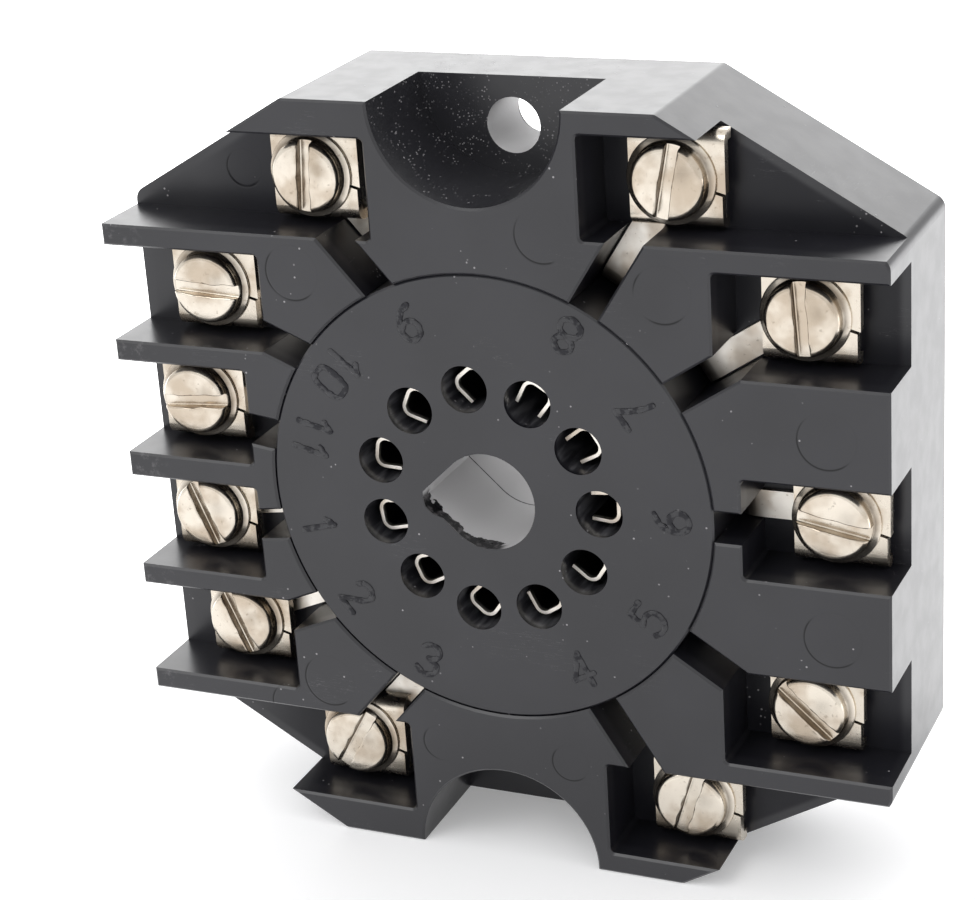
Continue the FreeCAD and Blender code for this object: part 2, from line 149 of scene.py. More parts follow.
class Tree:
    # Short way to wire a material's nodes

    def __init__(self, name):
        self.material = bpy.data.materials.new(name)
        self.material.use_nodes = True
        self.nodes = self.material.node_tree.nodes
        self.links = self.material.node_tree.links
        self.shader = self.nodes["Principled BSDF"]
        self.place = self.nodes.new("ShaderNodeTexCoord").outputs["Object"]

    def feed(self, socket, value):
        if isinstance(value, bpy.types.NodeSocket):
            self.links.new(value, socket)
        else:
            socket.default_value = value

    def math(self, operation, a, b=0.0, c=0.0):
        node = self.nodes.new("ShaderNodeMath")
        node.operation = operation
        for socket, value in zip(node.inputs, (a, b, c)):
            self.feed(socket, value)
        return node.outputs[0]

    def vector(self, operation, a, b=(0, 0, 0), output=0):
        node = self.nodes.new("ShaderNodeVectorMath")
        node.operation = operation
        self.feed(node.inputs[0], a)
        self.feed(node.inputs[1], b)
        return node.outputs[output]

    def noise(self, scale, detail=3.0, rough=0.5, place=None, distort=0.0):
        node = self.nodes.new("ShaderNodeTexNoise")
        self.feed(node.inputs["Vector"], place or self.place)
        for key, value in (("Scale", scale), ("Detail", detail), ("Roughness", rough),
                           ("Distortion", distort)):
            node.inputs[key].default_value = value
        return node.outputs["Fac"]

    def cells(self, scale, place=None):
        # Distance to the middle of the nearest cell
        node = self.nodes.new("ShaderNodeTexVoronoi")
        self.feed(node.inputs["Vector"], place or self.place)
        node.inputs["Scale"].default_value = scale
        return node.outputs["Distance"]

    def band(self, value, low, high, toLow=0.0, toHigh=1.0):
        # Goes smoothly from toLow to toHigh while the value goes from low to high
        node = self.nodes.new("ShaderNodeMapRange")
        node.interpolation_type = "SMOOTHSTEP"
        for socket, item in zip(node.inputs, (value, low, high, toLow, toHigh)):
            self.feed(socket, item)
        return node.outputs[0]

    def mix(self, factor, a, b):
        node = self.nodes.new("ShaderNodeMix")
        node.data_type = "RGBA"
        for socket, value in zip((node.inputs[0], node.inputs[6], node.inputs[7]), (factor, a, b)):
            self.feed(socket, value)
        return node.outputs[2]

    def stretched(self, scale, turn=0.0):
        # Object coordinates turned about the socket's axis and then stretched
        node = self.nodes.new("ShaderNodeMapping")
        self.feed(node.inputs["Vector"], self.place)
        node.inputs["Rotation"].default_value = (0, turn, 0)
        node.inputs["Scale"].default_value = scale
        return node.outputs[0]

    def bump(self, height, distance, strength=1.0, normal=None):
        node = self.nodes.new("ShaderNodeBump")
        node.inputs["Distance"].default_value = distance
        node.inputs["Strength"].default_value = strength
        self.feed(node.inputs["Height"], height)
        if normal:
            self.feed(node.inputs["Normal"], normal)
        return node.outputs[0]

    def product(self, *values):
        result = values[0]
        for value in values[1:]:
            result = self.math("MULTIPLY", result, value)
        return result

    def highest(self, *values):
        result = values[0]
        for value in values[1:]:
            result = self.math("MAXIMUM", result, value)
        return result

    def split(self):
        node = self.nodes.new("ShaderNodeSeparateXYZ")
        self.feed(node.inputs[0], self.place)
        return node.outputs

    def squeezed(self, scale):
        # Object coordinates, each times its own number
        return self.vector("MULTIPLY", self.place, scale)

    def fromAxis(self):
        # Distance to the line through the socket's middle, front to back
        return self.vector("LENGTH", self.squeezed((1, 0, 1)), output=1)

    def aheadOfBack(self):
        # 1 everywhere but on the back face, so that no mark that belongs in a hole shows there
        return self.band(self.split()[1], -0.0001, -0.0003)


# Round marks that ejector pins left on the faces: x, z and radius in mm
ejectorMarks = [(-15.6, 18.1, 2.3), (15.5, 18.5, 2.3), (28.0, 8.0, 2.3), (28.3, -8.3, 2.3),
                (-15.6, -18.0, 2.3), (-5.6, -22.4, 1.6), (6.0, -22.5, 1.6), (6.0, 22.5, 2.2),
                (-22.3, 24.7, 1.6), (-19.3, -20.8, 2.0)]
plasticLook = {
    "dark": (0.009, 0.009, 0.012, 1),
    "light": (0.014, 0.014, 0.018, 1),
    "dust": (0.30, 0.29, 0.30, 1),
    # painted shade in the ejector mark rings, darkest on their lower left
    "ringShade": (0.002, 0.002, 0.002, 1),  # in the ejector marks
    # painted light: the bore's and the mounting holes' walls made pale grey, as lit through the holes
    "bore": (0.42, 0.415, 0.42, 1),
    "holeWall": (0.10, 0.10, 0.108, 1),
    "tornDark": (0.004, 0.004, 0.005, 1),
    "tornLight": (0.09, 0.085, 0.088, 1),
    "roughness": (0.285, 0.325),
    "boreRoughness": 0.55,
    "gloss": 0.5,
    "insideGloss": 0.22,  # in the terminal recesses
    "openSide": 0.2,  # how much of that dulling is left at the open left side
    "index": 1.58,
}
# Where the moulding's forms lie, in metres: sideways and up from the socket's middle, and depths
# from the front face, the bore's from the disc's face. A pair is where a mask starts and ends.
moulding = {
    "sides": (0.0326, 0.0316),
    "ends": (0.0319, 0.0309),
    "cutSlope": math.tan(math.radians(30)),  # of the cut corners
    "cutStart": 0.01535,  # how far out the flat top ends and the cut begins
    "halfHeight": 0.0322,
    "disc": (0.0188, 0.0191),
    "recessTop": (0.0008, 0.0022),
    "recessFloor": ((0.0057, 0.0059), (0.0064, 0.0062)),
    "pocketSides": (0.0086, 0.0080),
    "pocketUp": (0.0238, 0.0243),
    "pocketFloor": 0.0099,
    "mountUp": 0.0282,
    "mountHole": (0.0026, 0.0024),
    "pinHoles": ((0.0068, 0.0072), (0.0124, 0.0120)),
    "bore": (0.0064, 0.0061),
    "tornDepth": (0.0008, 0.0018),
    "tornAngles": ((-0.05, 0.06), (1.95, 1.7)),  # radians about the axis
    "jointDepth": 0.0093,
    "ribEnds": (-0.0285, -0.0312),
}


def ringMarks(tree, outline):
    # Thin dips round each mark: 1 where the distance to its centre is the radius, 0 a little away,
    # on the front face and on the recesses' floors, fainter on the upper right of each, where the
    # sum of the two coordinates is high, and worn off in places by a noise. As colour it is painted
    # shade, dark on each ring's lower left.
    x, y, z = tree.split()
    slope = tree.math("ADD", x, z)
    flat = tree.squeezed((1, 0, 1))
    found = 0.0
    for across, up, radius in ejectorMarks:
        away = tree.vector("DISTANCE", flat, (across * mm, 0, up * mm), 1)
        near = tree.math("ABSOLUTE", tree.math("SUBTRACT", away, radius * mm))
        centre = (across + up) * mm
        side = tree.band(slope, centre + 0.0006, centre - 0.0012, 0.12, 1.0)
        found = tree.highest(found, tree.product(tree.band(near, outline, 0.0), side))
    floorStart, floorEnd = moulding["recessFloor"]
    level = tree.highest(tree.band(y, faceY + 0.0006, faceY + 0.0003),
                         tree.band(y, *(faceY + depth for depth in floorStart)))
    left = tree.band(tree.noise(190, 1), 0.28, 0.44)
    return tree.product(found, level, tree.band(y, *(faceY + depth for depth in floorEnd)), left)


def insideMask(tree):
    # 1 on the walls and floors of the terminal recesses: under the front face, outside the disc and
    # the mounting pockets, and clear of the outer sides, the cut corners being lines of their slope.
    # It falls off towards the left side, where the recesses are open to the sky.
    x, y, z = tree.split()
    openSide = tree.band(x, -0.0185, -0.0285, 1.0, plasticLook["openSide"])
    x, z = tree.math("ABSOLUTE", x), tree.math("ABSOLUTE", z)
    under = tree.band(y, *(faceY + depth for depth in moulding["recessTop"]))
    slant = tree.math("ADD", z, tree.math("MULTIPLY", x, moulding["cutSlope"]))
    corner = moulding["halfHeight"] + moulding["cutStart"] * moulding["cutSlope"]
    within = tree.product(tree.band(x, *moulding["sides"]), tree.band(z, *moulding["ends"]),
                          tree.band(slant, corner - 0.0004, corner - 0.0012))
    outside = tree.band(tree.fromAxis(), *moulding["disc"])
    pocket = tree.product(tree.band(x, *moulding["pocketSides"]), tree.band(z, *moulding["pocketUp"]))
    clear = tree.math("SUBTRACT", 1, pocket)
    return tree.product(under, within, outside, clear, openSide, tree.aheadOfBack())


def mountWalls(tree):
    # Walls of the two mounting holes: near their axes, and under the pockets' floors. They get the
    # bore's pale grey, a painted light.
    x, y, z = tree.split()
    up = tree.math("SUBTRACT", tree.math("ABSOLUTE", z), moulding["mountUp"])
    away = tree.math("SQRT", tree.math("ADD", tree.math("POWER", x, 2), tree.math("POWER", up, 2)))
    floor = faceY + moulding["pocketFloor"]
    under = tree.band(y, floor + 0.00002, floor + 0.0001)
    return tree.product(tree.band(away, *moulding["mountHole"]), under, tree.aheadOfBack())


def holeWalls(tree):
    # Rubbed streaks down the pin holes' walls: under the disc's face and between the radii that hold
    # the holes, where a noise drawn out along the depth is high
    away = tree.fromAxis()
    inner, outer = moulding["pinHoles"]
    ring = tree.product(tree.band(away, *inner), tree.band(away, *outer))
    below = tree.band(tree.split()[1], discY + 0.0002, discY + 0.0006)
    streaks = tree.band(tree.noise(1500, 3, 0.6, tree.squeezed((1, 0.12, 1))), 0.42, 0.66, 0.1, 0.9)
    return tree.product(streaks, ring, below, tree.aheadOfBack())


def boreMarks(tree):
    # Three masks on the key bore's wall, all from the distance to the socket's axis and the depth
    # under the disc's face: the matt wall, which the colour paints pale grey as painted light through
    # the bore, the torn edge below the keyway, whose depth wavers with a noise between two angles,
    # and the thin joint between the disc and the base.
    x, y, z = tree.split()
    depth = tree.math("SUBTRACT", y, discY)
    below = tree.band(depth, 0.00002, 0.00008)
    wall = tree.product(tree.band(tree.fromAxis(), *moulding["bore"]), below, tree.aheadOfBack())
    angle = tree.math("ARCTAN2", tree.math("MULTIPLY", z, -1), tree.math("MULTIPLY", x, -1))
    first, last = moulding["tornAngles"]
    rag = tree.band(tree.noise(700, 3, 0.6), 0.3, 0.7, *moulding["tornDepth"])
    torn = tree.product(tree.band(tree.math("SUBTRACT", depth, rag), 0.00005, -0.00005),
                        tree.band(angle, *first), tree.band(angle, *last), wall)
    seam = tree.math("ABSOLUTE", tree.math("SUBTRACT", depth, moulding["jointDepth"]))
    return wall, torn, tree.product(tree.band(seam, 0.00009, 0.00005), wall)


def dustMask(tree):
    # Small spots where fine cells are close to their centres, thinned out by a coarse noise, and
    # finer, thicker ones on the walls and floor of the upper mounting pocket
    x, y, z = tree.split()
    coarse = tree.noise(420, 2, 0.6)
    spots = tree.product(tree.band(tree.cells(1500), 0.16, 0.09), tree.band(coarse, 0.60, 0.66))
    inPocket = tree.product(tree.band(z, 0.0235, 0.0245), tree.band(y, faceY + 0.0002, faceY + 0.0005),
                            tree.band(tree.math("ABSOLUTE", x), *moulding["pocketSides"]),
                            tree.aheadOfBack())
    flecks = tree.product(tree.band(tree.cells(3600, tree.squeezed((1, 0.45, 1))), 0.27, 0.2),
                          tree.band(tree.noise(900, 1), 0.4, 0.66, 0.12, 0.8),
                          inPocket, tree.band(coarse, 0.42, 0.52))
    return tree.highest(spots, flecks)


def wearMask(tree, dust):
    # How pale the wear makes the plastic: the dust, scratches as thin ridges of a noise that is long
    # one way, kept to a few places, and scuffs on the left ribs' ends where a fine noise is high
    x, y = tree.split()[:2]
    long = tree.noise(260, 2, 0.6, tree.stretched((1, 1, 14), 0.5))
    hair = tree.band(tree.math("ABSOLUTE", tree.math("SUBTRACT", long, 0.5)), 0.004, 0.0)
    scratch = tree.product(hair, tree.band(tree.noise(130, 2), 0.60, 0.66), 0.35)
    onFace = tree.band(y, faceY + 0.0004, faceY + 0.0002)
    rubbed = tree.product(tree.band(x, *moulding["ribEnds"]), onFace,
                          tree.band(tree.noise(1100, 4, 0.7), 0.5, 0.7), 0.22)
    return tree.highest(tree.product(tree.highest(dust, scratch), 0.9), rubbed)


def blackPlastic(name, grainHeight, blotches=0.0):
    tree = Tree(name)
    look = plasticLook
    dust = dustMask(tree)
    pale = wearMask(tree, dust)
    marks = ringMarks(tree, 0.00012)
    inBore, torn, joint = boreMarks(tree)
    torn = tree.highest(torn, joint)
    inMount = mountWalls(tree)
    crumbs = tree.band(tree.noise(1500, 4, 0.7), 0.45, 0.72)
    crumbs = tree.mix(crumbs, look["tornDark"], look["tornLight"])
    tone = tree.mix(tree.band(tree.noise(90, 3, 0.5), 0.3, 0.7), look["dark"], look["light"])
    for mask, colour in ((pale, look["dust"]), (tree.product(marks, 0.8), look["ringShade"]),
                         (inBore, look["bore"]), (holeWalls(tree), look["holeWall"]),
                         (inMount, look["bore"]), (torn, crumbs)):
        tone = tree.mix(mask, tone, colour)
    tree.feed(tree.shader.inputs["Base Color"], tone)

    rough = tree.band(tree.noise(500, 3, 0.5), 0.3, 0.7, *look["roughness"])
    rough = tree.math("ADD", rough, tree.product(pale, 0.3))
    matt = tree.product(tree.highest(inBore, inMount), look["boreRoughness"])
    tree.feed(tree.shader.inputs["Roughness"], tree.highest(rough, matt))

    gloss = tree.product(tree.band(insideMask(tree), 0.0, 1.0, look["gloss"], look["insideGloss"]),
                         tree.band(torn, 0.0, 1.0, 1.0, 0.25), tree.band(marks, 0.0, 1.0, 1.0, 0.5))
    if blotches:
        patch = tree.band(tree.noise(1300, 3, 0.65), 0.48, 0.56, 1.0, 1.0 - blotches)
        gloss = tree.product(gloss, patch)
    tree.feed(tree.shader.inputs["Specular IOR Level"], gloss)
    tree.shader.inputs["IOR"].default_value = look["index"]

    grain = tree.bump(tree.noise(2600, 3, 0.6), grainHeight, 0.3)
    waves = tree.bump(tree.noise(160, 2, 0.5), 0.00001, 0.2, grain)
    rings = tree.bump(tree.math("SUBTRACT", 1, ringMarks(tree, 0.00016)), 0.00003, 0.8, waves)
    tree.feed(tree.shader.inputs["Normal"], tree.bump(dust, 0.00003, 0.6, rings))
    return tree.material


def sunkShade(tree):
    # Painted shade: 1 on a contact where it dips under the disc and inside the clips a little under
    # their edge, and rising towards the disc along the strips
    y = tree.split()[1]
    away = tree.fromAxis()
    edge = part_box("contact_1")[0].y
    clip = tree.product(tree.band(away, 0.0135, 0.0125), tree.band(y, edge + 0.0001, edge + 0.0006))
    sunk = tree.band(y, faceY + 0.0062, faceY + 0.0080)
    inSlot = tree.product(tree.band(away, 0.0222, 0.0201, 0.0, 0.72), tree.band(away, 0.0135, 0.0140))
    return tree.highest(clip, sunk, inSlot)


metalLook = {
    "dull": (0.66, 0.60, 0.54),  # shares of the tint that are left in the smears
    "speck": (0.30, 0.24, 0.18, 1),
    # painted shade and painted reflection on the screws' slots, flanges and crowns
    "shadeAndReflection": (0.085, 0.062, 0.042, 1),
    # painted shade on the contacts where they sink under the disc and into the slots and clips
    "sunk": (0.016, 0.011, 0.007, 1),
}


def nickel(name, tint, roughness, brushed, grain=0.4, shade=None):
    # Soft smears of a darker, browner tone, and painted shade and a painted reflection where the
    # mesh's value for them is high
    tree = Tree(name)
    tree.shader.inputs["Metallic"].default_value = 1.0
    darkPatch = tree.band(tree.noise(260, 3, 0.55), 0.42, 0.64, 0.0, 0.9)
    dull = tuple(channel * share for channel, share in zip(tint[:3], metalLook["dull"])) + (1,)
    specks = tree.band(tree.noise(2400, 3, 0.6), 0.62, 0.72, 0.0, 0.5)
    shadeAndReflection = tree.nodes.new("ShaderNodeAttribute")
    shadeAndReflection.attribute_name = "shadeAndReflection"
    mottle = tree.band(tree.noise(1200, 3, 0.6), 0.25, 0.7, 1.0, 0.72)
    tone = tree.mix(darkPatch, tint, dull)
    tone = tree.mix(specks, tone, metalLook["speck"])
    tone = tree.mix(tree.product(shadeAndReflection.outputs["Fac"], mottle), tone, metalLook["shadeAndReflection"])
    if shade:
        tone = tree.mix(tree.product(shade(tree), 0.97), tone, metalLook["sunk"])
    tree.feed(tree.shader.inputs["Base Color"], tone)
    tree.feed(tree.shader.inputs["Roughness"],
              tree.band(tree.noise(700, 3), 0.3, 0.7, roughness, roughness + 0.10))
    lines = tree.noise(900, 2, 0.6, tree.stretched((1, 1, 9), brushed))
    tree.feed(tree.shader.inputs["Normal"], tree.bump(lines, 0.000006, grain))
    return tree.material


plastic = blackPlastic("mouldedBlack", 0.00001)
figurePlastic = blackPlastic("roughBlack", 0.0003, 0.6)
screwMetal = nickel("screwNickel", (0.75, 0.685, 0.59, 1), 0.17, 0.3)
plateMetal = nickel("plateNickel", (0.72, 0.655, 0.56, 1), 0.21, 0.0)
contactMetal = nickel("contactNickel", (0.97, 0.925, 0.85, 1), 0.36, 0.9, 0.1, sunkShade)


def dressNode(name, material):
    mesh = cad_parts[name].data
    mesh.materials.clear()
    mesh.materials.append(material)


for name in ("base", "pin_disc"):
    dressNode(name, plastic)
for k in terminals:
    dressNode("contact_%d" % k, contactMetal)
    dressNode("clamp_plate_%d" % k, plateMetal)
    dressNode("terminal_screw_%d" % k, screwMetal)
print("materials set")


# Terminal screws

screw = {
    "headHeight": 1.6,  # mm, as everything here
    "crownRadius": 2.95,
    "rimHeight": 0.2,
    "rimRound": 0.07,
    "crownDrop": 0.17,  # middle of the crown to its shoulder
    "shoulder": 0.5,
    "slotWidth": 1.1,
    "slotFloor": 0.75,  # height of the slot's floor over the head's underside
    "edgeRound": 0.1,
    "shankRadius": 1.75,
    "threadPitch": 25.4 / 32,
    "threadDepth": 0.42,
    "tipTaper": 0.45,
    "shankOverlap": 0.05,  # how far the shank reaches into the head
    "wear": 0.05,  # how far the slot's edges stray
    "dents": 0.012,
    "darkPatch": 0.3,  # how strong the painted reflection on the crown is, as a share
    "reflectionSize": 0.75,
    "reflectionPlace": (1.3, 0.75),  # to the right of the crown's middle and above it
    # painted shade on the flange beside the crown
    "flangeShade": 0.75,
}
# The way each driver slot lies, counter-clockwise from the right
slotAngles = {1: -68, 2: -67, 3: 60, 4: 72, 5: -42, 6: -10, 7: 94, 8: 79, 9: 86, 10: -3, 11: 4}


def crownProfile(flange, height):
    # Radius and height of the head's turned outline: a flat rim, a small hollow at the foot of the
    # crown, an upright side, a shoulder as a quarter circle, and a shallow parabola on top.
    crown, rim, floor = screw["crownRadius"], screw["rimHeight"], screw["slotFloor"]
    edge = screw["rimRound"]
    lower = [(0, 0), (flange * 0.6, 0), (flange - edge, 0), (flange, edge), (flange, rim - edge),
             (flange - edge, rim), (crown + 0.16, rim + 0.02), (crown + 0.03, rim + 0.12),
             (crown, floor)]
    turn = np.linspace(0, np.pi / 2, 9)
    bend = screw["shoulder"]
    brow = height - screw["crownDrop"]
    upper = [(crown, floor), (crown, (floor + brow - bend) / 2)]
    upper += [(crown - bend + bend * np.cos(t), brow - bend + bend * np.sin(t)) for t in turn]
    inner = screw["slotWidth"] / 2
    for r in np.linspace(crown - bend, inner, 16)[1:]:
        upper.append((r, brow + screw["crownDrop"] * (1 - (r / (crown - bend)) ** 2)))
    return np.array(lower), np.array(upper)


def headGrids(flange, height):
    # Points as (across the slot, along it, height). Each half of the crown is made of arcs: the arc
    # of radius r runs between the angles -acos(w / 2r) and +acos(w / 2r), so it ends at the slot's
    # wall for a slot of width w. Walls join those ends to the floor, whose ends lie on the crown.
    lower, upper = crownProfile(flange, height)
    half, floor, crown = screw["slotWidth"] / 2, screw["slotFloor"], screw["crownRadius"]
    sweep = np.sin(np.linspace(-np.pi / 2, np.pi / 2, 41))
    radii, heights = upper[:, 0], upper[:, 1]
    reach = np.arccos(np.clip(half / radii, -1, 1))
    turn = reach[:, None] * sweep
    cap = np.stack((radii[:, None] * np.cos(turn), radii[:, None] * np.sin(turn),
                    np.broadcast_to(heights[:, None], turn.shape)), -1)
    near = smoothStep(0, screw["edgeRound"], cap[..., 0] - half)
    cap[..., 2] -= screw["edgeRound"] * 0.5 * (1 - near) ** 2 * (cap[..., 2] > floor + 0.1)
    ends = np.concatenate((cap[:, 0], cap[-2::-1, -1]))
    foot = ends.copy()
    foot[:, 2] = floor
    wall = ends + (foot - ends) * np.linspace(0, 1, 5)[:, None, None]

    acrossFloor = np.linspace(half, -half, 9)
    shares = ends[:, 1] / ends[-1, 1]
    chord = np.sqrt(crown ** 2 - acrossFloor ** 2)
    bed = np.stack((np.broadcast_to(acrossFloor[:, None], (9, len(shares))),
                    chord[:, None] * shares, np.full((9, len(shares)), floor)), -1)
    flip = np.array((-1, -1, 1))
    rimArc = np.concatenate((cap[0, :, :2], bed[1:-1, -1, :2], -cap[0, :, :2], -bed[1:-1, -1, :2]))
    ring = rimArc / crown
    levels = np.broadcast_to(lower[:, 1][:, None, None], (len(lower), len(ring), 1))
    skirt = np.concatenate((lower[:, 0][:, None, None] * ring, levels), -1)
    return [(cap, False), (cap * flip, False), (wall, False), (wall * flip, False),
            (bed, False), (skirt, True)]


def shankGrid(radius, length):
    # Thread as radius over height z and angle t: the radius less the depth times |2 f - 1| rounded,
    # where f is the fraction of z / pitch - t / 2 pi. The tip tapers, and both ends close to a point.
    z = np.linspace(0, -length, 110)
    t = np.linspace(0, 2 * np.pi, 25)[:-1]
    phase = (z[:, None] / screw["threadPitch"] - t / (2 * np.pi)) % 1
    depth = screw["threadDepth"] * smoothStep(0.08, 0.92, np.abs(2 * phase - 1))
    depth = depth * smoothStep(0, 0.8, -z)[:, None]
    taper = screw["tipTaper"] * smoothStep(-length + 0.5, -length, z)
    r = radius - depth * (1 - taper[:, None]) - taper[:, None]
    r[0] = r[-1] = 0
    return np.stack((r * np.cos(t), r * np.sin(t), np.broadcast_to(z[:, None], r.shape)), -1)


def worn(points, seed):
    # Moves the slot's edges: a shift across and a lift, each a soft noise along the slot times
    # exp(-((|across| - half width) / reach) squared), and shallow dents over the whole crown.
    across, along, up = points[..., 0], points[..., 1], points[..., 2]
    high = smoothStep(screw["slotFloor"] + 0.25, screw["slotFloor"] + 0.6, up)
    side = np.sign(across)
    nearEdge = np.exp(-((np.abs(across) - screw["slotWidth"] / 2) / 0.16) ** 2) * high
    shift = screw["wear"] * softNoise(along + 9 * side, side, seed, 2.6) * nearEdge
    lift = 0.7 * screw["wear"] * softNoise(along * 1.3, side * 5, seed + 40, 3.4) * nearEdge
    dents = screw["dents"] * softNoise(across, along, seed + 80, 1.7) * high
    return np.stack((across + shift, along, up + lift + dents), -1)


def addGrime(mesh, origin, across, outward, flange):
    # Painted shade on the slot's walls, 1 from the floor up to near the crown and 0 elsewhere, and
    # less on the flange, as smooth steps of the height, the distance across and the radius. Walls that
    # face up or down get less of it than those that face sideways. A painted reflection, a dark patch
    # on the crown, falls off as exp(-d * d) with the distance d from a place up and right of its
    # middle.
    places = np.empty(len(mesh.vertices) * 3)
    mesh.vertices.foreach_get("co", places)
    places = places.reshape(-1, 3) / mm - origin / mm
    up = places @ outward
    aside = np.abs(places @ across)
    half, floor, height = screw["slotWidth"] / 2, screw["slotFloor"], screw["headHeight"]
    inWall = (aside < half + 0.07) & (aside > half - 0.12)
    wall = inWall * smoothStep(floor - 0.02, floor + 0.1, up)
    wall = wall * smoothStep(height - 0.08, height - 0.2, up)
    wall = wall * (0.1 + 0.9 * abs(across[0]))
    radius = np.linalg.norm(places - up[:, None] * outward, axis=1)
    crown = screw["crownRadius"]
    hollow = screw["flangeShade"] * smoothStep(crown - 0.02, crown + 0.06, radius)
    hollow = hollow * smoothStep(flange - 0.08, flange - 0.2, radius) * (up < 0.7)
    right, above = screw["reflectionPlace"]
    reach = np.hypot(places[:, 0] - right, places[:, 2] - above) / screw["reflectionSize"]
    darkPatch = screw["darkPatch"] * np.exp(-reach ** 2) * (up > height - 0.35)
    shadeAndReflection = np.maximum(np.maximum(wall, hollow), darkPatch).astype(np.float32)
    mesh.attributes.new("shadeAndReflection", "FLOAT", "POINT").data.foreach_set("value", shadeAndReflection)


def makeScrew(k):
    # Builds the head and the shank about the screw's axis and turns them to the slot's angle
    low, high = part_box("terminal_screw_%d" % k)
    middle = (low + high) / 2
    flange = (high.x - low.x) / 2 / mm
    height = screw["headHeight"]
    under = low.y / mm + height
    length = high.y / mm - under
    grids = [(worn(grid, k), wraps) for grid, wraps in headGrids(flange, height)]
    lifted = np.array((0, 0, screw["shankOverlap"]))
    grids.append((shankGrid(screw["shankRadius"], length) + lifted, True))
    angle = math.radians(slotAngles[k])
    across = np.array((-math.sin(angle), 0, math.cos(angle)))
    along = np.array((math.cos(angle), 0, math.sin(angle)))
    outward = np.array((0, -1, 0))
    origin = np.array((middle.x / mm, under, middle.z / mm))
    placed = [((origin + grid[..., :1] * across + grid[..., 1:2] * along
                + grid[..., 2:] * outward) * mm, wraps) for grid, wraps in grids]
    name = "slotted_screw_%d" % k
    mesh = surfaceMesh(name, placed)
    addGrime(mesh, origin * mm, across, outward, flange)
    piece = makePiece(name, mesh, screwMetal, "screw_%d" % k)
    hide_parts("terminal_screw_%d" % k)


for k in terminals:
    makeScrew(k)
print("screws made")


# Pin numbers, raised on the disc with their feet outwards

digits = {
    "height": 2.9,  # mm
    "strokeWidth": 0.5,
    "rise": 0.2,
    "flatTop": 0.13,  # the strokes stay under this, and so under the front face
    "sink": 0.012,  # how much lower a stroke's top ends than it starts
    "ragged": 0.16,  # share of the size that the outline wavers by
    "spacing": 0.78,  # from figure to figure, in heights
}
numberPlaces = {
    1: (-15.3, -3.9), 2: (-12.3, -9.8), 3: (-6.2, -14.8), 4: (7.3, -13.9), 5: (13.3, -8.6),
    6: (15.5, 0.0), 7: (13.0, 8.9), 8: (7.6, 14.6), 9: (-5.8, 14.6), 10: (-12.4, 9.9),
    11: (-15.2, 4.0),
}
# Strokes of each figure on a field 0.6 wide and 1 high, every one a curve through its points
six = [(0.50, 0.98), (0.24, 0.84), (0.06, 0.55), (0.03, 0.28), (0.15, 0.05), (0.34, 0.0),
       (0.54, 0.12), (0.58, 0.34), (0.45, 0.52), (0.24, 0.54), (0.06, 0.40)]
strokes = {
    "0": [[(0.30, 0.02), (0.10, 0.06), (0.02, 0.22), (0.0, 0.5), (0.02, 0.78), (0.10, 0.94),
           (0.30, 0.98), (0.50, 0.94), (0.58, 0.78), (0.60, 0.5), (0.58, 0.22), (0.50, 0.06),
           (0.30, 0.02)]],
    "1": [[(0.30, 0.0), (0.30, 1.0)], [(0.30, 1.0), (0.10, 0.78)]],
    "2": [[(0.02, 0.78), (0.12, 0.95), (0.32, 1.0), (0.52, 0.92), (0.58, 0.74), (0.48, 0.52),
           (0.24, 0.27), (0.02, 0.0)], [(0.02, 0.0), (0.60, 0.0)]],
    "3": [[(0.03, 0.85), (0.20, 0.98), (0.42, 0.97), (0.55, 0.80), (0.49, 0.62), (0.26, 0.53)],
          [(0.26, 0.53), (0.52, 0.44), (0.60, 0.25), (0.48, 0.06), (0.25, 0.0), (0.02, 0.12)]],
    "4": [[(0.45, 0.0), (0.45, 1.0)], [(0.45, 1.0), (0.0, 0.30)], [(0.0, 0.30), (0.62, 0.30)]],
    "5": [[(0.55, 1.0), (0.10, 1.0)], [(0.10, 1.0), (0.05, 0.54)],
          [(0.05, 0.54), (0.30, 0.63), (0.53, 0.54), (0.60, 0.32), (0.50, 0.08), (0.25, 0.0),
           (0.02, 0.10)]],
    "6": [six],
    "7": [[(0.0, 1.0), (0.60, 1.0)], [(0.60, 1.0), (0.38, 0.60), (0.26, 0.25), (0.22, 0.0)]],
    "8": [[(0.30, 0.53), (0.09, 0.64), (0.06, 0.84), (0.30, 1.0), (0.54, 0.84), (0.51, 0.64),
           (0.30, 0.53), (0.06, 0.42), (0.02, 0.16), (0.30, 0.0), (0.58, 0.16), (0.54, 0.42),
           (0.30, 0.53)]],
    "9": [[(0.6 - x, 1 - y) for x, y in six]],
}


def curveThrough(points, fine=9):
    # Catmull-Rom curve: between points q and r with neighbours p and s it is the cubic
    # q + t (r - p) / 2 + t^2 (p - 2.5 q + 2 r - s / 2) + t^3 (1.5 (q - r) + (s - p) / 2).
    path = np.array(points, float)
    if len(path) == 2:
        return path[0] + (path[1] - path[0]) * np.linspace(0, 1, fine)[:, None]
    path = np.concatenate((path[:1] * 2 - path[1:2], path, path[-1:] * 2 - path[-2:-1]))
    p, q, r, s = (path[i:len(path) - 3 + i, None] for i in range(4))
    t = np.linspace(0, 1, fine)[:-1][None, :, None]
    curve = (q + t * (r - p) / 2 + t ** 2 * (p - 2.5 * q + 2 * r - s / 2)
             + t ** 3 * (1.5 * (q - r) + (s - p) / 2))
    return np.concatenate((curve.reshape(-1, 2), path[-2:-1]))


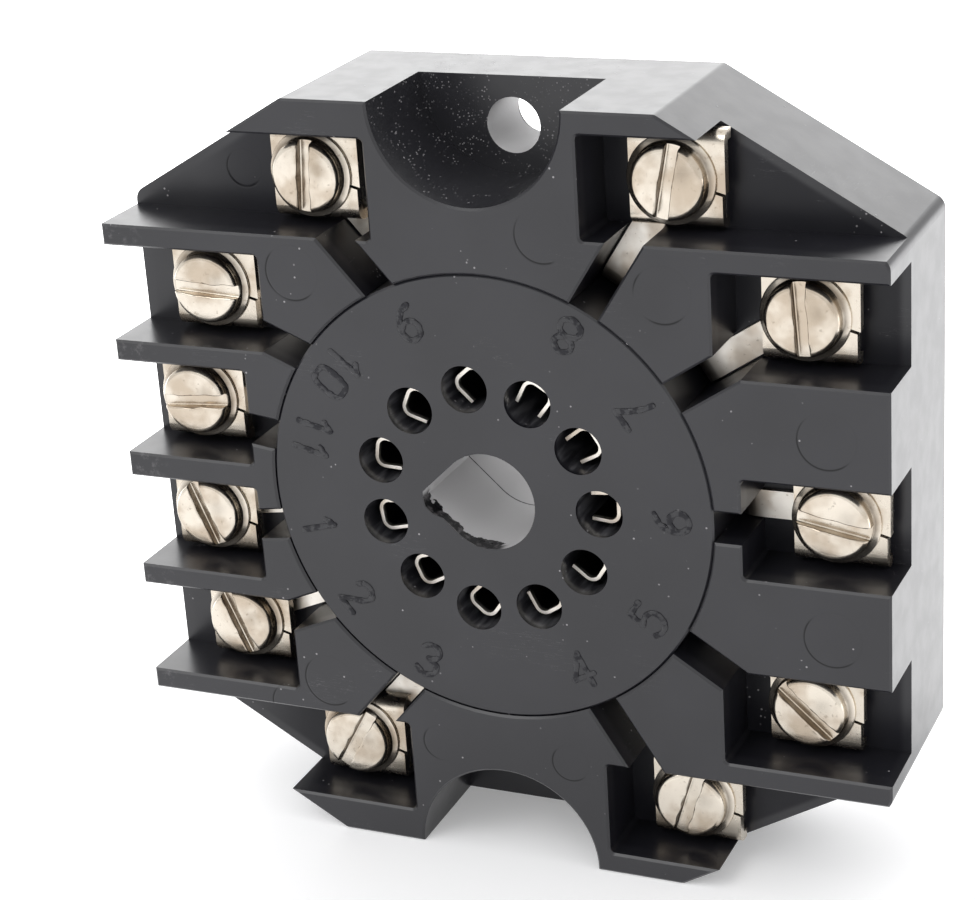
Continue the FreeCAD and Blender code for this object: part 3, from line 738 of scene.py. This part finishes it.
def ridge(path, width, rise):
    # Ellipse, half the width by the rise, carried along a path on the disc and shrunk to a point
    # past each end as sqrt(1 - u squared), so that the stroke ends round. Both sizes waver a little,
    # and the height h is flattened to top * tanh(h / top) under a top that sinks along the stroke.
    along = np.gradient(path, axis=0)
    along /= np.linalg.norm(along, axis=1)[:, None]
    u = np.linspace(1, 0, 6)[:-1]
    start = path[0] - along[0] * u[:, None] * width / 2
    finish = path[-1] + along[-1] * u[::-1, None] * width / 2
    spine = np.concatenate((start, path, finish))
    heading = np.concatenate((np.repeat(along[:1], 5, 0), along, np.repeat(along[-1:], 5, 0)))
    size = np.concatenate((np.sqrt(1 - u ** 2), np.ones(len(path)), np.sqrt(1 - u[::-1] ** 2)))
    size = size * (1 + digits["ragged"] * softNoise(spine[:, 0], spine[:, 1], 5, 7.0))
    side = np.stack((-heading[:, 1], heading[:, 0]), -1)
    turn = np.linspace(0, 2 * np.pi, 13)[:-1]
    offset = size[:, None] * width / 2 * np.cos(turn)
    plane = spine[:, None] + side[:, None] * offset[..., None]
    top = digits["flatTop"] * (0.9 + 0.1 * softNoise(spine[:, 0], spine[:, 1], 11, 4.0)[:, None])
    top = top - digits["sink"] * np.linspace(0, 1, len(spine))[:, None]
    lift = top * np.tanh(size[:, None] * rise * np.sin(turn) / top)
    return np.concatenate((plane, lift[..., None]), -1)


def makeDigits():
    # A figure stands upright towards the disc's centre: its foot points away from it, and it reads
    # along the tangent (-sin t, cos t) at the angle t of its place.
    grids = []
    tall = digits["height"]
    for number, place in numberPlaces.items():
        angle = math.atan2(place[1], place[0])
        reading = np.array((-math.sin(angle), math.cos(angle)))
        upward = np.array((-math.cos(angle), -math.sin(angle)))
        figures = str(number)
        for i, figure in enumerate(figures):
            shift = (i - (len(figures) - 1) / 2) * digits["spacing"] - 0.3
            for stroke in strokes[figure]:
                flat = (curveThrough(stroke) + np.array((shift, -0.5))) * tall
                path = np.array(place) + flat[:, :1] * reading + flat[:, 1:] * upward
                shape = ridge(path, digits["strokeWidth"], digits["rise"])
                row = np.stack((shape[..., 0], discY / mm - shape[..., 2], shape[..., 1]), -1)
                grids.append((row * mm, True))
    makePiece("disc_numbers", surfaceMesh("disc_numbers", grids, 1e-7), figurePlastic, "socket")


makeDigits()
print("numbers made")


# Stage: pale floor and soft lights

stage = {
    "floorHalf": 1.5,  # m
    "floorTone": (0.86, 0.86, 0.87, 1),
    "sky": (1.0, 1.0, 1.0, 1),
    "skyStrength": 1.0,
    "floorGlow": (0.25, 1.45),  # in front of the socket and behind it
    # name: place, aim (m), width, height (m), radiance
    "panels": {
        "backPanel": ((-0.20, 0.45, 0.16), (0, 0, 0), 0.75, 0.42, 2.05),
        "keyPanel": ((-0.25, -0.40, 0.50), (0, 0, 0), 0.40, 0.40, 2.0),
    },
}


def makeStage():
    # Floor as one square, and panels whose power is radiance times pi times area
    half = stage["floorHalf"]
    low = cadBox[0][2]
    mesh = bpy.data.meshes.new("floor")
    corners = [(-half, -half, low), (half, -half, low), (half, half, low), (-half, half, low)]
    mesh.from_pydata(corners, [], [(0, 1, 2, 3)])
    floor = bpy.data.objects.new("floor", mesh)
    bpy.context.scene.collection.objects.link(floor)
    tree = Tree("paleFloor")
    tree.shader.inputs["Base Color"].default_value = stage["floorTone"]
    tree.shader.inputs["Roughness"].default_value = 0.6
    tree.shader.inputs["Emission Color"].default_value = stage["sky"]
    tree.feed(tree.shader.inputs["Emission Strength"],
              tree.band(tree.split()[1], 0.0, 0.028, *stage["floorGlow"]))
    mesh.materials.append(tree.material)
    for name, (place, aim, width, height, radiance) in stage["panels"].items():
        light = bpy.data.lights.new(name, "AREA")
        light.shape = "RECTANGLE"
        light.size, light.size_y = width, height
        light.energy = radiance * math.pi * width * height
        panel = bpy.data.objects.new(name, light)
        panel.location = place
        toward = Vector(aim) - Vector(place)
        panel.rotation_euler = toward.to_track_quat("-Z", "Y").to_euler()
        panel.visible_camera = False
        bpy.context.scene.collection.objects.link(panel)
    world = bpy.data.worlds.new("studio")
    world.use_nodes = True
    background = world.node_tree.nodes["Background"]
    background.inputs["Color"].default_value = stage["sky"]
    background.inputs["Strength"].default_value = stage["skyStrength"]
    bpy.context.scene.world = world
    bpy.context.scene.view_settings.view_transform = "Standard"


makeStage()
print("stage set")
